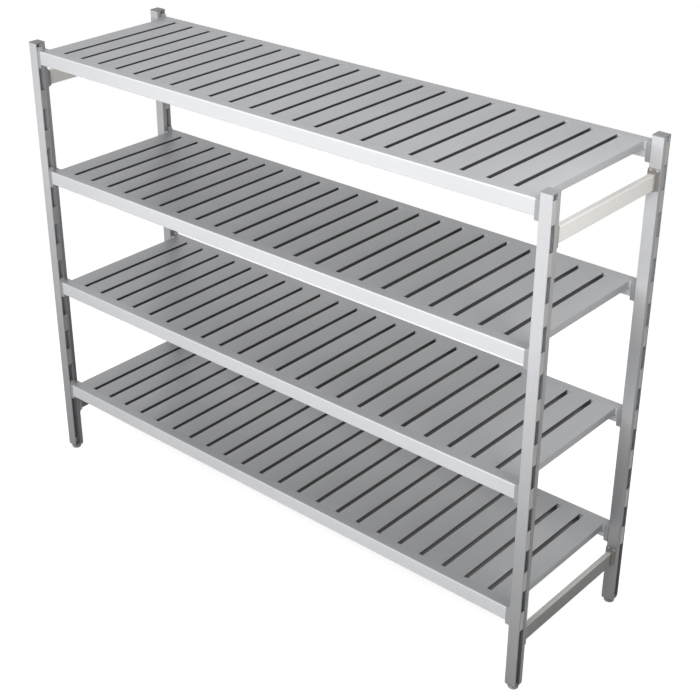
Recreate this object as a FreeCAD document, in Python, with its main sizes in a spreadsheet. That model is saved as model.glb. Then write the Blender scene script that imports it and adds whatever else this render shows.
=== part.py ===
"""Cold room shelving unit: four slatted tiers hooked between two end frames.

Frame: +Z up, X along the tiers, Y from front (negative) to rear, origin on the
floor under the centre of the unit. All lengths are in millimetres.
"""

import math
import os

import FreeCAD
import Part
import Sketcher

# Driving sizes, each written once.
SIZES = {
    # Whole unit.
    "unit_length": 2180.0,
    "unit_depth": 615.0,
    "lowest_tier": 305.0,
    "tier_gaps": 3,
    "windows_per_gap": 3,
    "post_above_tier": 22.0,
    # Post extrusion.
    "post_width": 40.0,
    "post_depth": 40.0,
    "post_wall": 2.5,
    "post_web": 3.0,
    "post_edge": 1.2,
    "post_base": 18.6,
    "channel_depth": 21.0,
    # Rack strip that sits in grooves of the post's two channels.
    "strip_thick": 2.0,
    "strip_inset": 1.2,
    "groove_depth": 1.0,
    "window_pitch": 150.0,
    "window_height": 80.0,
    "window_width": 18.0,
    # Tier rail extrusion.
    "rail_setback": 2.0,
    "rail_depth": 38.0,
    "rail_height": 50.0,
    "rail_wall": 2.2,
    "rail_nose": 5.0,
    "ledge_width": 13.0,
    "ledge_thick": 2.6,
    # Slats.
    "slat_width": 75.0,
    "slat_gap": 15.0,
    "slat_height": 24.0,
    "slat_wall": 1.6,
    "slat_edge": 1.4,
    "slat_end_margin": 5.0,
    # Hook connectors between rail and post.
    "hook_body_length": 15.0,
    "hook_body_below": 12.5,
    "hook_edge": 1.5,
    "hook_rise": 3.5,
    "tongue_height": 7.0,
    "tongue_width": 17.0,
    "tongue_drop": 9.0,
    "tongue_thick": 4.0,
    "ear_length": 9.0,
    "spigot_length": 30.0,
    # Crossbars and their brackets.
    "bar_width": 20.0,
    "bar_height": 50.0,
    "bar_wall": 2.0,
    "bar_edge": 1.5,
    "low_bar_middle": 192.0,
    "top_bar_drop": 113.0,
    "bracket_plate": 4.0,
    "bracket_above": 13.0,
    "bracket_below": 3.0,
    "bracket_corner": 3.0,
    "collar_wall": 2.7,
    "collar_depth": 12.0,
    # Foot blocks and levelling feet.
    "block_inset": 0.8,
    "block_bottom": 12.4,
    "block_chamfer": 2.2,
    "plug_length": 16.0,
    "stud_radius": 4.0,
    "stud_reach": 20.0,
    "stud_hole_spare": 2.0,
    "foot_radius": 17.5,
    "foot_rim": 7.5,
    "foot_hub_radius": 14.0,
    # Post caps.
    "cap_thick": 3.0,
    "cap_edge": 0.8,
    # Clearances.
    "fit_gap": 0.3,
    "strip_gap": 0.2,
    "hook_gap": 0.4,
    "stud_gap": 0.05,
}

SHEET = "Sizes"
SIDES = ("left", "right")
ROWS = ("front", "rear")
LEVELS = ("bottom", "top")


class Size:
    """A length with the sheet expression that drives it."""

    def __init__(self, value, text):
        self.value = float(value)
        self.text = text

    def __add__(self, other):
        other = as_size(other)
        return Size(self.value + other.value, f"({self.text} + {other.text})")

    def __sub__(self, other):
        other = as_size(other)
        return Size(self.value - other.value, f"({self.text} - {other.text})")

    def __mul__(self, other):
        other = as_size(other)
        return Size(self.value * other.value, f"({self.text} * {other.text})")

    def __truediv__(self, other):
        other = as_size(other)
        return Size(self.value / other.value, f"({self.text} / {other.text})")

    def __neg__(self):
        return Size(-self.value, f"(0 - {self.text})")


def as_size(number):
    if isinstance(number, Size):
        return number
    return Size(number, repr(number))


def whole(size):
    """Round a count down to a whole number."""
    return Size(math.floor(size.value), f"floor({size.text})")


def size(name):
    return Size(SIZES[name], f"{SHEET}.{name}")


# Sizes that follow from the driving ones.
HALF_LENGTH = size("unit_length") / 2
HALF_DEPTH = size("unit_depth") / 2
TIER_STEP = size("windows_per_gap") * size("window_pitch")
WINDOW_COUNT = size("tier_gaps") * size("windows_per_gap")
TOP_TIER = size("lowest_tier") + size("tier_gaps") * TIER_STEP
POST_TOP = TOP_TIER + size("post_above_tier")
POST_LENGTH = POST_TOP - size("post_base")
CHANNEL_END = size("post_wall") + size("channel_depth")
CELL_START = CHANNEL_END + size("post_wall")
CELL_WIDTH = size("post_width") - size("post_wall") * 2
CELL_DEPTH = size("post_depth") - CELL_START - size("post_wall")
GROOVE_NEAR = size("strip_inset") - size("strip_gap")
GROOVE_FAR = size("strip_inset") + size("strip_thick")
STRIP_WIDTH = size("channel_depth") + (size("groove_depth") - size("strip_gap")) * 2
WEB_HEIGHT = size("window_pitch") - size("window_height")
STRIP_BOTTOM = size("lowest_tier") + size("hook_rise") - WEB_HEIGHT
STRIP_LENGTH = WINDOW_COUNT * size("window_pitch") + WEB_HEIGHT
RAIL_HALF = HALF_LENGTH - size("post_width") - size("hook_body_length")
RAIL_LENGTH = RAIL_HALF * 2
LEDGE_TOP = size("rail_height") - size("slat_height")
CELL_FLOOR = LEDGE_TOP - size("ledge_thick")
SLAT_LENGTH = (HALF_DEPTH - size("rail_setback") - size("rail_depth") - size("fit_gap")) * 2
SLAT_PITCH = size("slat_width") + size("slat_gap")
SLAT_COUNT = whole((RAIL_LENGTH - size("slat_end_margin") * 2 + size("slat_gap")) / SLAT_PITCH)
SLATS_SPAN = SLAT_COUNT * SLAT_PITCH - size("slat_gap")
TONGUE_SIDE = size("post_wall") + (size("channel_depth") - size("tongue_width")) / 2
INNER_FACE = HALF_DEPTH - size("post_depth")
COLLAR_WIDTH = size("bar_width") + (size("fit_gap") + size("collar_wall")) * 2
COLLAR_HEIGHT = size("bar_height") + (size("fit_gap") + size("collar_wall")) * 2
PLATE_HEIGHT = size("bracket_below") + size("bar_height") + size("bracket_above")
BAR_MIDDLES = {
    "bottom": size("low_bar_middle"),
    "top": TOP_TIER - size("top_bar_drop"),
}
BLOCK_HEIGHT = size("post_base") - size("block_bottom")
STUD_TOP = size("post_base") + size("stud_reach")


def add_sheet(doc):
    """Write every driving size to its own named cell."""
    sheet = doc.addObject("Spreadsheet::Sheet", SHEET)
    for row, (name, value) in enumerate(SIZES.items(), start=1):
        sheet.set(f"A{row}", name)
        sheet.set(f"B{row}", str(value))
        sheet.setAlias(f"B{row}", name)
    doc.recompute()


def add_body(doc, label):
    body = doc.addObject("PartDesign::Body", label)
    body.Label = label
    return body


def datum(body, role):
    """Return the body's own origin plane or axis with this role."""
    for feature in body.Origin.OriginFeatures:
        if feature.Role == role:
            return feature
    raise ValueError(f"{body.Label} has no {role}")


def bind(feature, path, length):
    feature.setExpression(path, as_size(length).text)


def add_sketch(body, name, plane, shift=None):
    """Attach a sketch to an origin plane, shifted along the plane's normal."""
    sketch = body.newObject("Sketcher::SketchObject", name)
    sketch.AttachmentSupport = [(datum(body, plane), "")]
    sketch.MapMode = "FlatFace"
    if shift is not None:
        offset = FreeCAD.Vector(0, 0, shift.value)
        sketch.AttachmentOffset = FreeCAD.Placement(offset, FreeCAD.Rotation())
        bind(sketch, ".AttachmentOffset.Base.z", shift)
    return sketch


def pin_point(sketch, line, place, point):
    """Hold one point of the sketch at its two bound coordinates."""
    for kind, length in zip(("DistanceX", "DistanceY"), point):
        length = as_size(length)
        index = sketch.addConstraint(Sketcher.Constraint(kind, -1, 1, line, place, length.value))
        if SHEET in length.text:
            sketch.setExpression(f"Constraints[{index}]", length.text)


def draw_outline(sketch, points):
    """Draw a closed outline through bound corner points."""
    corners = [FreeCAD.Vector(as_size(x).value, as_size(y).value, 0) for x, y in points]
    count = len(corners)
    first = sketch.GeometryCount
    for i in range(count):
        sketch.addGeometry(Part.LineSegment(corners[i], corners[(i + 1) % count]), False)
    for i in range(count):
        sketch.addConstraint(
            Sketcher.Constraint("Coincident", first + i, 2, first + (i + 1) % count, 1)
        )
    for i, point in enumerate(points):
        pin_point(sketch, first + i, 1, point)


def draw_rectangle(sketch, x, y, width, height):
    x, y = as_size(x), as_size(y)
    draw_outline(sketch, [(x, y), (x + width, y), (x + width, y + height), (x, y + height)])


def draw_circle(sketch, x, y, radius):
    middle = FreeCAD.Vector(as_size(x).value, as_size(y).value, 0)
    index = sketch.addGeometry(Part.Circle(middle, FreeCAD.Vector(0, 0, 1), radius.value), False)
    pin_point(sketch, index, 3, (x, y))
    bound = sketch.addConstraint(Sketcher.Constraint("Radius", index, radius.value))
    sketch.setExpression(f"Constraints[{bound}]", radius.text)


def add_pad(body, name, sketch, length, back=False):
    pad = body.newObject("PartDesign::Pad", name)
    pad.Profile = sketch
    pad.Length = as_size(length).value
    bind(pad, "Length", length)
    pad.Reversed = back
    body.Tip = pad
    return pad


def add_pocket(body, name, sketch, length, back=False):
    """Cut a pocket and make sure that it took material away."""
    before = body.Tip
    pocket = body.newObject("PartDesign::Pocket", name)
    pocket.Profile = sketch
    pocket.Length = as_size(length).value
    bind(pocket, "Length", length)
    pocket.Reversed = back
    body.Tip = pocket
    body.Document.recompute()
    if pocket.Shape.Volume > before.Shape.Volume - 1:
        raise ValueError(f"{name} in {body.Label} cuts nothing")
    return pocket


def edges_along(shape, direction, corners):
    """Name the straight edges along a direction that pass through given corners."""
    names = []
    for number, edge in enumerate(shape.Edges, start=1):
        if edge.Curve.TypeId != "Part::GeomLine":
            continue
        run = edge.Vertexes[-1].Point - edge.Vertexes[0].Point
        if run.cross(direction).Length > 0.01:
            continue
        for corner in corners:
            gap = edge.Vertexes[0].Point - corner
            if gap.cross(direction).Length < 0.01:
                names.append(f"Edge{number}")
                break
    return names


def soften(body, name, kind, direction, corners, radius):
    """Round ("Fillet") or bevel ("Chamfer") the edges through the given corners."""
    body.Document.recompute()
    before = body.Tip
    way = FreeCAD.Vector(*direction)
    points = [FreeCAD.Vector(*(as_size(c).value for c in corner)) for corner in corners]
    names = edges_along(before.Shape, way, points)
    if not names:
        raise ValueError(f"{name} in {body.Label} finds no edge")
    feature = body.newObject(f"PartDesign::{kind}", name)
    feature.Base = (before, names)
    bind(feature, "Radius" if kind == "Fillet" else "Size", radius)
    body.Tip = feature
    return feature


def repeat(body, name, features, axis, length, count):
    """Repeat features along an origin axis; length is the run from first to last."""
    pattern = body.newObject("PartDesign::LinearPattern", name)
    pattern.Originals = features
    pattern.Direction = (datum(body, axis), [""])
    bind(pattern, "Length", length)
    bind(pattern, "Occurrences", count)
    body.Tip = pattern
    return pattern


def mirror(body, name, plane):
    """Mirror the whole body in one of its origin planes."""
    body.Document.recompute()
    mirrored = body.newObject("PartDesign::Mirrored", name)
    mirrored.TransformMode = "Whole shape"
    mirrored.MirrorPlane = (datum(body, plane), [""])
    body.Tip = mirrored
    return mirrored


def put(body, x, y, z, turned=False):
    """Place a sub-part, turned half round about +Z when asked."""
    at = [as_size(x), as_size(y), as_size(z)]
    turn = FreeCAD.Rotation(FreeCAD.Vector(0, 0, 1), 180 if turned else 0)
    body.Placement = FreeCAD.Placement(FreeCAD.Vector(*(c.value for c in at)), turn)
    for letter, length in zip("xyz", at):
        if SHEET in length.text:
            bind(body, f".Placement.Base.{letter}", length)


def put_at_post(body, row, side, z):
    """Place a sub-part whose own origin is the outer front corner of a post."""
    if row == "front":
        x = -HALF_LENGTH if side == "left" else HALF_LENGTH - size("post_width")
        put(body, x, -HALF_DEPTH, z)
    else:
        x = HALF_LENGTH if side == "right" else size("post_width") - HALF_LENGTH
        put(body, x, HALF_DEPTH, z, turned=True)


def post_corners():
    """The four upright edges of the post's outline."""
    width, depth = size("post_width"), size("post_depth")
    return [(0, 0, 0), (width, 0, 0), (0, depth, 0), (width, depth, 0)]


def make_post(doc, row, side):
    """Post extrusion: two side channels with grooves, a web and a closed rear cell.

    Its lower end is drilled up the middle for the stud of the levelling foot.
    """
    body = add_body(doc, f"post_{row}_{side}")
    width = size("post_width")
    wall = size("post_wall")
    groove_low = wall - size("groove_depth")
    groove_high = CHANNEL_END + size("groove_depth")
    web_left = (width - size("post_web")) / 2
    web_right = (width + size("post_web")) / 2
    outline = [
        (0, 0),
        (width, 0),
        (width, wall),
        (width - GROOVE_NEAR, wall),
        (width - GROOVE_NEAR, groove_low),
        (width - GROOVE_FAR, groove_low),
        (width - GROOVE_FAR, wall),
        (web_right, wall),
        (web_right, CHANNEL_END),
        (width - GROOVE_FAR, CHANNEL_END),
        (width - GROOVE_FAR, groove_high),
        (width - GROOVE_NEAR, groove_high),
        (width - GROOVE_NEAR, CHANNEL_END),
        (width, CHANNEL_END),
        (width, size("post_depth")),
        (0, size("post_depth")),
        (0, CHANNEL_END),
        (GROOVE_NEAR, CHANNEL_END),
        (GROOVE_NEAR, groove_high),
        (GROOVE_FAR, groove_high),
        (GROOVE_FAR, CHANNEL_END),
        (web_left, CHANNEL_END),
        (web_left, wall),
        (GROOVE_FAR, wall),
        (GROOVE_FAR, groove_low),
        (GROOVE_NEAR, groove_low),
        (GROOVE_NEAR, wall),
        (0, wall),
    ]
    profile = add_sketch(body, "PostProfile", "XY_Plane")
    draw_outline(profile, outline)
    draw_rectangle(profile, wall, CELL_START, CELL_WIDTH, CELL_DEPTH)
    add_pad(body, "Extrusion", profile, POST_LENGTH)
    drilling = add_sketch(body, "StudHole", "XY_Plane")
    radius = size("stud_radius") + size("fit_gap")
    draw_circle(drilling, width / 2, size("post_depth") / 2, radius)
    depth = size("stud_reach") + size("stud_hole_spare")
    add_pocket(body, "StudHoleCut", drilling, depth, back=True)
    soften(body, "Corners", "Chamfer", (0, 0, 1), post_corners(), size("post_edge"))
    put_at_post(body, row, side, size("post_base"))
    return body


def make_strip(doc, row, side, face):
    """Rack strip: a flat bar with a ladder of windows for the hooks."""
    body = add_body(doc, f"rack_strip_{row}_{side}_{face}")
    bar = add_sketch(body, "StripProfile", "YZ_Plane")
    draw_rectangle(bar, 0, 0, STRIP_WIDTH, STRIP_LENGTH)
    add_pad(body, "Strip", bar, size("strip_thick"))
    window = add_sketch(body, "Window", "YZ_Plane")
    left = (STRIP_WIDTH - size("window_width")) / 2
    draw_rectangle(window, left, WEB_HEIGHT, size("window_width"), size("window_height"))
    cut = add_pocket(body, "WindowCut", window, size("strip_thick") * 2, back=True)
    run = size("window_pitch") * (WINDOW_COUNT - 1)
    repeat(body, "Ladder", [cut], "Z_Axis", run, WINDOW_COUNT)
    on_left_face = (side == "left") == (face == "outer")
    near = size("strip_inset") if on_left_face else size("post_width") - GROOVE_FAR
    from_front = size("post_wall") - size("groove_depth") + size("strip_gap")
    x = near - HALF_LENGTH if side == "left" else HALF_LENGTH - size("post_width") + near
    if row == "front":
        y = from_front - HALF_DEPTH
    else:
        y = HALF_DEPTH - from_front - STRIP_WIDTH
    put(body, x, y, STRIP_BOTTOM)
    return body


def draw_plug(sketch):
    """Section of a plug that fills the post's closed cell with a fit gap all round."""
    gap = size("fit_gap")
    draw_rectangle(
        sketch,
        size("post_wall") + gap,
        CELL_START + gap,
        CELL_WIDTH - gap * 2,
        CELL_DEPTH - gap * 2,
    )


def make_cap(doc, row, side):
    """Post cap: a plate over the post's end with a plug in the closed cell."""
    body = add_body(doc, f"post_cap_{row}_{side}")
    width, depth, thick = size("post_width"), size("post_depth"), size("cap_thick")
    plug = add_sketch(body, "PlugProfile", "XY_Plane")
    draw_plug(plug)
    add_pad(body, "Plug", plug, size("plug_length"), back=True)
    plate = add_sketch(body, "PlateProfile", "XY_Plane")
    draw_rectangle(plate, 0, 0, width, depth)
    add_pad(body, "Plate", plate, thick)
    soften(body, "Corners", "Chamfer", (0, 0, 1), post_corners(), size("post_edge"))
    along_x = [(0, 0, thick), (0, depth, thick)]
    soften(body, "LongEdges", "Chamfer", (1, 0, 0), along_x, size("cap_edge"))
    put_at_post(body, row, side, POST_TOP)
    return body


def make_foot_block(doc, row, side):
    """Foot block under a post, with a plug in the post and a hole for the stud."""
    body = add_body(doc, f"foot_block_{row}_{side}")
    inset = size("block_inset")
    width = size("post_width") - inset * 2
    depth = size("post_depth") - inset * 2
    base = add_sketch(body, "BlockProfile", "XY_Plane")
    draw_rectangle(base, inset, inset, width, depth)
    add_pad(body, "Block", base, BLOCK_HEIGHT)
    far_x, far_y = inset + width, inset + depth
    corners = [(inset, inset, 0), (far_x, inset, 0), (inset, far_y, 0), (far_x, far_y, 0)]
    soften(body, "Corners", "Chamfer", (0, 0, 1), corners, size("block_chamfer"))
    ends = [(inset, inset, 0), (inset, far_y, 0)]
    soften(body, "LowEdges", "Chamfer", (1, 0, 0), ends, size("block_chamfer"))
    plug = add_sketch(body, "PlugProfile", "XY_Plane", BLOCK_HEIGHT)
    draw_plug(plug)
    add_pad(body, "Plug", plug, size("plug_length"))
    hole = add_sketch(body, "StudHole", "XY_Plane")
    radius = size("stud_radius") + size("stud_gap")
    draw_circle(hole, size("post_width") / 2, size("post_depth") / 2, radius)
    add_pocket(body, "StudHoleCut", hole, BLOCK_HEIGHT * 2, back=True)
    put_at_post(body, row, side, size("block_bottom"))
    return body


def make_levelling_foot(doc, row, side):
    """Levelling foot: round pad, hub and stud turned in one piece."""
    body = add_body(doc, f"levelling_foot_{row}_{side}")
    rim = size("foot_rim")
    radius, hub, stud = size("foot_radius"), size("foot_hub_radius"), size("stud_radius")
    outline = [
        (0, 0),
        (radius, 0),
        (radius, rim),
        (hub, rim),
        (hub, size("block_bottom")),
        (stud, size("block_bottom")),
        (stud, STUD_TOP),
        (0, STUD_TOP),
    ]
    half = add_sketch(body, "FootProfile", "XZ_Plane")
    draw_outline(half, outline)
    turned = body.newObject("PartDesign::Revolution", "Turned")
    turned.Profile = half
    turned.ReferenceAxis = (datum(body, "Z_Axis"), [""])
    turned.Angle = 360
    body.Tip = turned
    middle_x = HALF_LENGTH - size("post_width") / 2
    middle_y = HALF_DEPTH - size("post_depth") / 2
    x = -middle_x if side == "left" else middle_x
    y = -middle_y if row == "front" else middle_y
    put(body, x, y, 0)
    return body


def make_crossbar(doc, side, level):
    """Rectangular tube that joins the front and rear post of one end frame."""
    body = add_body(doc, f"crossbar_{side}_{level}")
    wall, gap = size("bar_wall"), size("fit_gap")
    width, height = size("bar_width"), size("bar_height")
    start = (size("post_width") - width) / 2
    half = INNER_FACE - size("bracket_plate")
    tube = add_sketch(body, "TubeProfile", "XZ_Plane", half)
    draw_rectangle(tube, start, gap, width, height)
    draw_rectangle(tube, start + wall, wall + gap, width - wall * 2, height - wall * 2)
    add_pad(body, "Tube", tube, half * 2, back=True)
    corners = [(x, 0, z) for x in (start, start + width) for z in (gap, height + gap)]
    soften(body, "Edges", "Chamfer", (0, 1, 0), corners, size("bar_edge"))
    x = -HALF_LENGTH if side == "left" else HALF_LENGTH - size("post_width")
    put(body, x, 0, BAR_MIDDLES[level] - height / 2 - gap)
    return body


def make_brackets(doc, side, level):
    """Front and rear bracket of a crossbar: a plate with a collar round the tube."""
    body = add_body(doc, f"crossbar_brackets_{side}_{level}")
    below, gap, wall = size("bracket_below"), size("fit_gap"), size("collar_wall")
    width = size("post_width")
    plate = add_sketch(body, "PlateProfile", "XZ_Plane", -(INNER_FACE - size("bracket_plate")))
    draw_rectangle(plate, 0, 0, width, PLATE_HEIGHT)
    add_pad(body, "Plate", plate, size("bracket_plate"), back=True)
    start = (width - COLLAR_WIDTH) / 2
    face = INNER_FACE - size("bracket_plate")
    collar = add_sketch(body, "CollarProfile", "XZ_Plane", -face)
    bottom = below - gap - wall
    draw_rectangle(collar, start, bottom, COLLAR_WIDTH, COLLAR_HEIGHT)
    hollow_width = size("bar_width") + gap * 2
    hollow_height = size("bar_height") + gap * 2
    draw_rectangle(collar, start + wall, bottom + wall, hollow_width, hollow_height)
    add_pad(body, "Collar", collar, size("collar_depth"))
    top = [(0, 0, PLATE_HEIGHT), (width, 0, PLATE_HEIGHT)]
    soften(body, "PlateTop", "Chamfer", (0, 1, 0), top, size("bracket_corner"))
    mirror(body, "BothEnds", "XZ_Plane")
    x = -HALF_LENGTH if side == "left" else HALF_LENGTH - width
    put(body, x, 0, BAR_MIDDLES[level] - size("bar_height") / 2 - below)
    return body


def make_rail(doc, tier, row, surface):
    """Tier rail: two-cell extrusion with a rounded nose and a ledge for the slats."""
    body = add_body(doc, f"tier{tier}_{row}_rail")
    depth, height, wall = size("rail_depth"), size("rail_height"), size("rail_wall")
    ledge = depth + size("ledge_width")
    outline = [
        (0, 0),
        (depth, 0),
        (depth, CELL_FLOOR),
        (ledge, CELL_FLOOR),
        (ledge, LEDGE_TOP),
        (depth, LEDGE_TOP),
        (depth, height),
        (0, height),
    ]
    profile = add_sketch(body, "RailProfile", "YZ_Plane")
    draw_outline(profile, outline)
    draw_rectangle(profile, wall, wall, depth - wall * 2, CELL_FLOOR - wall)
    draw_rectangle(profile, wall, LEDGE_TOP, depth - wall * 2, size("slat_height") - wall)
    add_pad(body, "Extrusion", profile, RAIL_LENGTH)
    soften(body, "Nose", "Fillet", (1, 0, 0), [(0, 0, height)], size("rail_nose"))
    inner_nose = [(0, wall, height - wall)]
    soften(body, "InnerNose", "Chamfer", (1, 0, 0), inner_nose, size("rail_nose") - wall)
    low_edges = [(0, 0, 0), (0, depth, 0)]
    soften(body, "LowEdges", "Chamfer", (1, 0, 0), low_edges, size("hook_edge"))
    z = surface - height
    if row == "front":
        put(body, -RAIL_HALF, size("rail_setback") - HALF_DEPTH, z)
    else:
        put(body, RAIL_HALF, HALF_DEPTH - size("rail_setback"), z, turned=True)
    return body


def make_hooks(doc, tier, row, surface):
    """Hook connectors at both ends of a rail: spigot, end block and drop tongue."""
    body = add_body(doc, f"tier{tier}_{row}_hooks")
    gap, wall = size("fit_gap"), size("rail_wall")
    height = size("rail_height") + size("hook_body_below")
    setback = size("rail_setback")
    post_face = RAIL_HALF + size("hook_body_length")
    block = add_sketch(body, "BlockProfile", "YZ_Plane", RAIL_HALF)
    draw_rectangle(block, setback, 0, size("rail_depth"), height)
    block_length = size("hook_body_length") - gap
    add_pad(body, "Block", block, block_length)
    nose = [(0, setback, height)]
    soften(body, "BlockNose", "Fillet", (1, 0, 0), nose, size("rail_nose"))
    low = [(0, setback, 0), (0, setback + size("rail_depth"), 0)]
    soften(body, "BlockLow", "Chamfer", (1, 0, 0), low, size("hook_edge"))
    spigot = add_sketch(body, "SpigotProfile", "YZ_Plane", RAIL_HALF - size("spigot_length"))
    low_cell = size("hook_body_below") + wall + gap
    spigot_side = setback + wall + gap
    spigot_width = size("rail_depth") - (wall + gap) * 2
    draw_rectangle(spigot, spigot_side, low_cell, spigot_width, CELL_FLOOR - wall - gap * 2)
    add_pad(body, "Spigot", spigot, size("spigot_length"))
    under = height + size("hook_rise")
    top = under + size("tongue_height")
    back = post_face + GROOVE_FAR + size("hook_gap")
    far = back + size("tongue_thick")
    root = post_face - gap - size("ear_length")
    bevel = size("hook_edge")
    side_view = [
        (root, height - size("hook_rise")),
        (root, height),
        (root + size("hook_rise"), top - bevel),
        (root + size("hook_rise") + bevel, top),
        (far - bevel, top),
        (far, top - bevel),
        (far, under - size("tongue_drop") + bevel),
        (far - bevel, under - size("tongue_drop")),
        (back, under - size("tongue_drop")),
        (back, under),
        (post_face - gap, under),
        (post_face - gap, height - size("hook_rise")),
    ]
    tongue = add_sketch(body, "TongueProfile", "XZ_Plane", -TONGUE_SIDE)
    draw_outline(tongue, side_view)
    add_pad(body, "Tongue", tongue, size("tongue_width"), back=True)
    mirror(body, "BothEnds", "YZ_Plane")
    z = surface - height
    if row == "front":
        put(body, 0, -HALF_DEPTH, z)
    else:
        put(body, 0, HALF_DEPTH, z, turned=True)
    return body


def make_slats(doc, tier, surface):
    """Slats of a tier: inverted channels that stand on the rails' ledges."""
    body = add_body(doc, f"tier{tier}_slats")
    width, height, wall = size("slat_width"), size("slat_height"), size("slat_wall")
    edge = size("slat_edge")
    outline = [
        (0, 0),
        (wall, 0),
        (wall, height - wall),
        (width - wall, height - wall),
        (width - wall, 0),
        (width, 0),
        (width, height - edge),
        (width - edge, height),
        (edge, height),
        (0, height - edge),
    ]
    profile = add_sketch(body, "SlatProfile", "XZ_Plane", SLAT_LENGTH / 2)
    draw_outline(profile, outline)
    slat = add_pad(body, "Slat", profile, SLAT_LENGTH, back=True)
    repeat(body, "Deck", [slat], "X_Axis", SLAT_PITCH * (SLAT_COUNT - 1), SLAT_COUNT)
    put(body, -(SLATS_SPAN / 2), 0, surface - height)
    return body


def build_unit(doc):
    """Make every sub-part and return them in order."""
    parts = []
    for side in SIDES:
        for row in ROWS:
            parts.append(make_post(doc, row, side))
            for face in ("inner", "outer"):
                parts.append(make_strip(doc, row, side, face))
            parts.append(make_cap(doc, row, side))
            parts.append(make_foot_block(doc, row, side))
            parts.append(make_levelling_foot(doc, row, side))
        for level in LEVELS:
            parts.append(make_crossbar(doc, side, level))
            parts.append(make_brackets(doc, side, level))
    for index in range(int(SIZES["tier_gaps"]) + 1):
        surface = size("lowest_tier") + TIER_STEP * index
        for row in ROWS:
            parts.append(make_rail(doc, index + 1, row, surface))
            parts.append(make_hooks(doc, index + 1, row, surface))
        parts.append(make_slats(doc, index + 1, surface))
    return parts


def check_document(doc, parts):
    """Stop before writing when any feature failed or any sub-part is not sound."""
    for thing in doc.Objects:
        if "Invalid" in thing.State or "Error" in thing.State:
            raise ValueError(f"{thing.Name} ({thing.Label}) failed: {thing.State}")
    for part in parts:
        if part.Shape.isNull() or not part.Shape.isValid() or not part.Shape.Solids:
            raise ValueError(f"{part.Label} has no sound shape")


def write_parts(parts):
    os.makedirs("parts", exist_ok=True)
    for part in parts:
        part.Shape.exportStep(f"parts/{part.Label}.step")


def main():
    doc = FreeCAD.newDocument("ColdRoomShelving")
    add_sheet(doc)
    parts = build_unit(doc)
    doc.recompute()
    check_document(doc, parts)
    write_parts(parts)
    print(f"{len(parts)} sub-parts written")


main()
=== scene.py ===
"""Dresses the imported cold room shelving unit: finishes, small fasteners, light and camera."""

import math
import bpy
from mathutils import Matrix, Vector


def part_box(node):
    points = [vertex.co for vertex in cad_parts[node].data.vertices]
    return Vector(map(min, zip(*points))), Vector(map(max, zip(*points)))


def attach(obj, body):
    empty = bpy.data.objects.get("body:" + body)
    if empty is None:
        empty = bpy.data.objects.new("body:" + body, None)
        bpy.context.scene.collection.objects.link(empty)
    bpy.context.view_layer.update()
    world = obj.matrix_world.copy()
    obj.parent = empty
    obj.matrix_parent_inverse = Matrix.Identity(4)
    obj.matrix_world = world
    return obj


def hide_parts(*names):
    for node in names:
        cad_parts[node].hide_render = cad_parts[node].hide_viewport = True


bl_info = {
    "name": "Cold Room Shelving Unit",
    "version": (1, 0, 0),
    "blender": (4, 5, 0),
    "location": "View3D > Sidebar > Shelving",
    "description": "Finishes, fasteners and stage for a cold room shelving unit",
    "category": "Object",
}

import bmesh
import bpy
from bpy.props import FloatProperty, FloatVectorProperty, IntProperty, PointerProperty
from mathutils import Vector

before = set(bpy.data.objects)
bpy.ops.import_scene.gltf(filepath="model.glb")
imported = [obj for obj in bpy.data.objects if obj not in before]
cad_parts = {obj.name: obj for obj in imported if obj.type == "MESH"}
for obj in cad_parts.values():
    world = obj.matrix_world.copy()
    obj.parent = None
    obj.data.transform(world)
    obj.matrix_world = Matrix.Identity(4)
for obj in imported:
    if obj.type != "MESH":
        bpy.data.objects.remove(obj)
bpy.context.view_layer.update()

MM = 0.001
SIDES = ("left", "right")
ROWS = ("front", "rear")
LEVELS = ("bottom", "top")
TIERS = (1, 2, 3, 4)
# Aluminium and steel are usually 1.0. The white surround turns that pale all over, so the share was
# brought down until the greys matched the photo, and in other light it may look more like satin paint.
METAL = 0.2
TIER_END = 1.027  # metres from the middle to the outer side of a tier's last slat


# Shared helpers

def linear(hex_colour):
    """Turn an sRGB hex colour into the linear colour that shaders take."""
    channels = []
    for start in (1, 3, 5):
        value = int(hex_colour[start:start + 2], 16) / 255
        channels.append(value / 12.92 if value <= 0.04045 else ((value + 0.055) / 1.055) ** 2.4)
    return (*channels, 1.0)


def colour(name, description, hex_colour):
    """A colour setting with its default written in hex."""
    return FloatVectorProperty(
        name=name,
        description=description,
        subtype="COLOR",
        size=4,
        min=0,
        max=1,
        default=linear(hex_colour),
    )


def length(name, description, millimetres):
    """A length setting with its default written in millimetres."""
    return FloatProperty(
        name=name,
        description=description,
        unit="LENGTH",
        min=0,
        default=millimetres * MM,
    )


def add_node(tree, kind, settings=None, links=None):
    """Add one node with its settings, socket values and incoming links."""
    node = tree.nodes.new(kind)
    for name, value in (settings or {}).items():
        if isinstance(name, int) or name in node.inputs:
            node.inputs[name].default_value = value
        else:
            setattr(node, name, value)
    for name, source in (links or {}).items():
        tree.links.new(source, node.inputs[name])
    return node


def calculate(tree, operation, first, second):
    """Do one sum with two terms, each a number or an output, and return its output."""
    node = add_node(tree, "ShaderNodeMath", {"operation": operation})
    for index, term in enumerate((first, second)):
        if isinstance(term, (int, float)):
            node.inputs[index].default_value = term
        else:
            tree.links.new(term, node.inputs[index])
    return node.outputs[0]


def add_input(tree, name, socket_type):
    """Add one named input to a tree of geometry nodes."""
    return tree.interface.new_socket(name=name, in_out="INPUT", socket_type=socket_type)


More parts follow.
